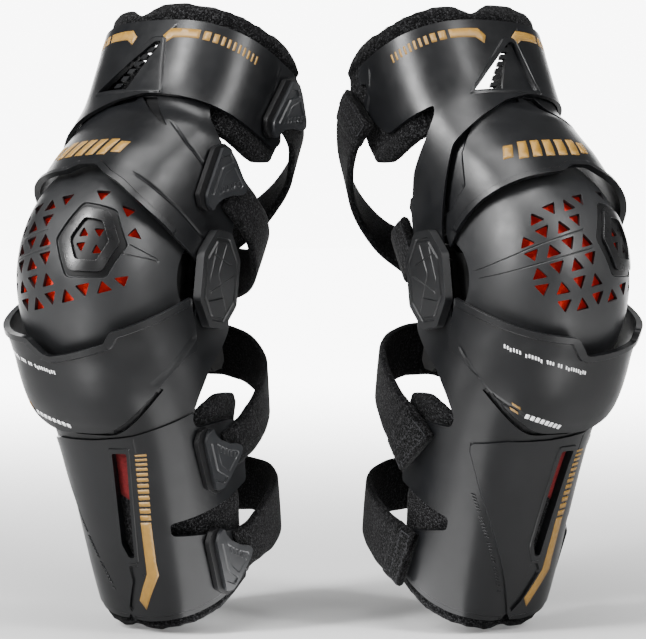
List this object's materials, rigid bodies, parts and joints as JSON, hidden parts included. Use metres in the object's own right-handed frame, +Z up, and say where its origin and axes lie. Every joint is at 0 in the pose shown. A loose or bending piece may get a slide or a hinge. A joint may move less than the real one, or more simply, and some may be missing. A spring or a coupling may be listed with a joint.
{
  "type": "pair of hinged motorcycle knee guards",
  "caption": "Pair of hinged knee and shin guards: moulded thigh, knee and shin shells on geared side hinges, fabric liners, and straps with hook-on clips.",
  "frame": {"origin": "middle of the pair's bounding box in plan, on the ground the shin liners stand on", "axes": "+Z up the legs, -Y towards the fronts of the knees, +X from the left-hand guard to the right-hand guard of the picture's view"},
  "size_m": [0.4394, 0.226, 0.4381],
  "materials": {
    "shell_plastic": "satin moulded black",
    "cup_plastic": "satin moulded black",
    "cover_rubber": "matt black",
    "clip_plastic": "satin dark grey",
    "liner_fabric": "brushed knit",
    "strap_fabric": "brushed loop elastic",
    "red_foam": "matt foam",
    "steel": "blackened"
  },
  "bodies": {
    "left_shin": {"left_shin_frame": "shell_plastic", "left_shin_chin": "shell_plastic", "left_shin_liner": "liner_fabric", "left_outer_shin_arm": "steel", "left_inner_shin_arm": "steel", "left_calf_upper_strap": "strap_fabric", "left_calf_lower_strap": "strap_fabric"},
    "left_knee": {"left_knee_cup": "cup_plastic", "left_knee_cup_foam": "red_foam", "left_outer_hinge_cover": "cover_rubber", "left_inner_hinge_cover": "cover_rubber", "left_outer_hinge_plate": "steel", "left_inner_hinge_plate": "steel", "left_outer_thigh_pivot_pin": "steel", "left_inner_thigh_pivot_pin": "steel", "left_outer_shin_pivot_pin": "steel", "left_inner_shin_pivot_pin": "steel", "left_outer_condyle_pad": "liner_fabric", "left_inner_condyle_pad": "liner_fabric"},
    "left_thigh": {"left_thigh_frame": "shell_plastic", "left_thigh_dome": "shell_plastic", "left_thigh_liner": "liner_fabric", "left_outer_thigh_arm": "steel", "left_inner_thigh_arm": "steel", "left_thigh_upper_strap": "strap_fabric", "left_thigh_lower_strap": "strap_fabric"},
    "left_thigh_upper_clip": {"left_thigh_upper_clip": "clip_plastic"},
    "left_thigh_lower_clip": {"left_thigh_lower_clip": "clip_plastic"},
    "left_calf_upper_clip": {"left_calf_upper_clip": "clip_plastic"},
    "left_calf_lower_clip": {"left_calf_lower_clip": "clip_plastic"},
    "right_shin": {"right_shin_frame": "shell_plastic", "right_shin_chin": "shell_plastic", "right_shin_liner": "liner_fabric", "right_outer_shin_arm": "steel", "right_inner_shin_arm": "steel", "right_calf_upper_strap": "strap_fabric", "right_calf_lower_strap": "strap_fabric"},
    "right_knee": {"right_knee_cup": "cup_plastic", "right_knee_cup_foam": "red_foam", "right_outer_hinge_cover": "cover_rubber", "right_inner_hinge_cover": "cover_rubber", "right_outer_hinge_plate": "steel", "right_inner_hinge_plate": "steel", "right_outer_thigh_pivot_pin": "steel", "right_inner_thigh_pivot_pin": "steel", "right_outer_shin_pivot_pin": "steel", "right_inner_shin_pivot_pin": "steel", "right_outer_condyle_pad": "liner_fabric", "right_inner_condyle_pad": "liner_fabric"},
    "right_thigh": {"right_thigh_frame": "shell_plastic", "right_thigh_dome": "shell_plastic", "right_thigh_liner": "liner_fabric", "right_outer_thigh_arm": "steel", "right_inner_thigh_arm": "steel", "right_thigh_upper_strap": "strap_fabric", "right_thigh_lower_strap": "strap_fabric"},
    "right_thigh_upper_clip": {"right_thigh_upper_clip": "clip_plastic"},
    "right_thigh_lower_clip": {"right_thigh_lower_clip": "clip_plastic"},
    "right_calf_upper_clip": {"right_calf_upper_clip": "clip_plastic"},
    "right_calf_lower_clip": {"right_calf_lower_clip": "clip_plastic"}
  },
  "joints": [
    {"name": "left_knee_flex", "type": "hinge", "parent": "left_shin", "child": "left_knee", "pos_m": [-0.13245, -0.021, 0.23811], "axis": [-0.809, 0.5878, 0], "range_deg": [-20, 36], "deforming": ["left_calf_upper_strap"]},
    {"name": "left_thigh_flex", "type": "hinge", "parent": "left_knee", "child": "left_thigh", "pos_m": [-0.13055, -0.01838, 0.26189], "axis": [-0.809, 0.5878, 0], "range_deg": [-20, 36]},
    {"name": "left_thigh_upper_clip_lift", "type": "hinge", "parent": "left_thigh", "child": "left_thigh_upper_clip", "pos_m": [-0.03179, -0.00935, 0.3733], "axis": [-0.3715, -0.4588, -0.8072], "range_deg": [0, 30]},
    {"name": "left_thigh_lower_clip_lift", "type": "hinge", "parent": "left_thigh", "child": "left_thigh_lower_clip", "pos_m": [-0.07744, -0.0633, 0.32207], "axis": [-0.2822, -0.3746, -0.8832], "range_deg": [0, 30]},
    {"name": "left_calf_upper_clip_lift", "type": "hinge", "parent": "left_shin", "child": "left_calf_upper_clip", "pos_m": [-0.08071, -0.05702, 0.12326], "axis": [0.1781, 0.3886, -0.904], "range_deg": [0, 30]},
    {"name": "left_calf_lower_clip_lift", "type": "hinge", "parent": "left_shin", "child": "left_calf_lower_clip", "pos_m": [-0.07431, -0.03983, 0.05161], "axis": [0.1718, 0.3109, -0.9348], "range_deg": [0, 30]},
    {"name": "right_knee_flex", "type": "hinge", "parent": "right_shin", "child": "right_knee", "pos_m": [0.13245, -0.021, 0.23811], "axis": [-0.809, -0.5878, 0], "range_deg": [-20, 36], "deforming": ["right_calf_upper_strap"]},
    {"name": "right_thigh_flex", "type": "hinge", "parent": "right_knee", "child": "right_thigh", "pos_m": [0.13055, -0.01838, 0.26189], "axis": [-0.809, -0.5878, 0], "range_deg": [-20, 36]},
    {"name": "right_thigh_upper_clip_lift", "type": "hinge", "parent": "right_thigh", "child": "right_thigh_upper_clip", "pos_m": [0.15248, 0.07834, 0.3733], "axis": [0.3215, -0.4951, -0.8072], "range_deg": [0, 30]},
    {"name": "right_thigh_lower_clip_lift", "type": "hinge", "parent": "right_thigh", "child": "right_thigh_lower_clip", "pos_m": [0.18968, 0.01825, 0.32207], "axis": [0.269, -0.3841, -0.8832], "range_deg": [0, 30]},
    {"name": "right_calf_upper_clip_lift", "type": "hinge", "parent": "right_shin", "child": "right_calf_upper_clip", "pos_m": [0.1827, 0.01708, 0.12326], "axis": [-0.3145, 0.2895, -0.904], "range_deg": [0, 30]},
    {"name": "right_calf_lower_clip_lift", "type": "hinge", "parent": "right_shin", "child": "right_calf_lower_clip", "pos_m": [0.16833, 0.02848, 0.05161], "axis": [-0.2426, 0.2594, -0.9348], "range_deg": [0, 30]},
    {"name": "pair_gap", "type": "slide", "parent": "left_shin", "child": "right_shin", "axis": [1, 0, 0], "range_m": [0, 0.15]}
  ],
  "couplings": [
    {"joint": "left_thigh_flex", "follows": "left_knee_flex", "ratio": 1},
    {"joint": "right_thigh_flex", "follows": "right_knee_flex", "ratio": 1}
  ]
}
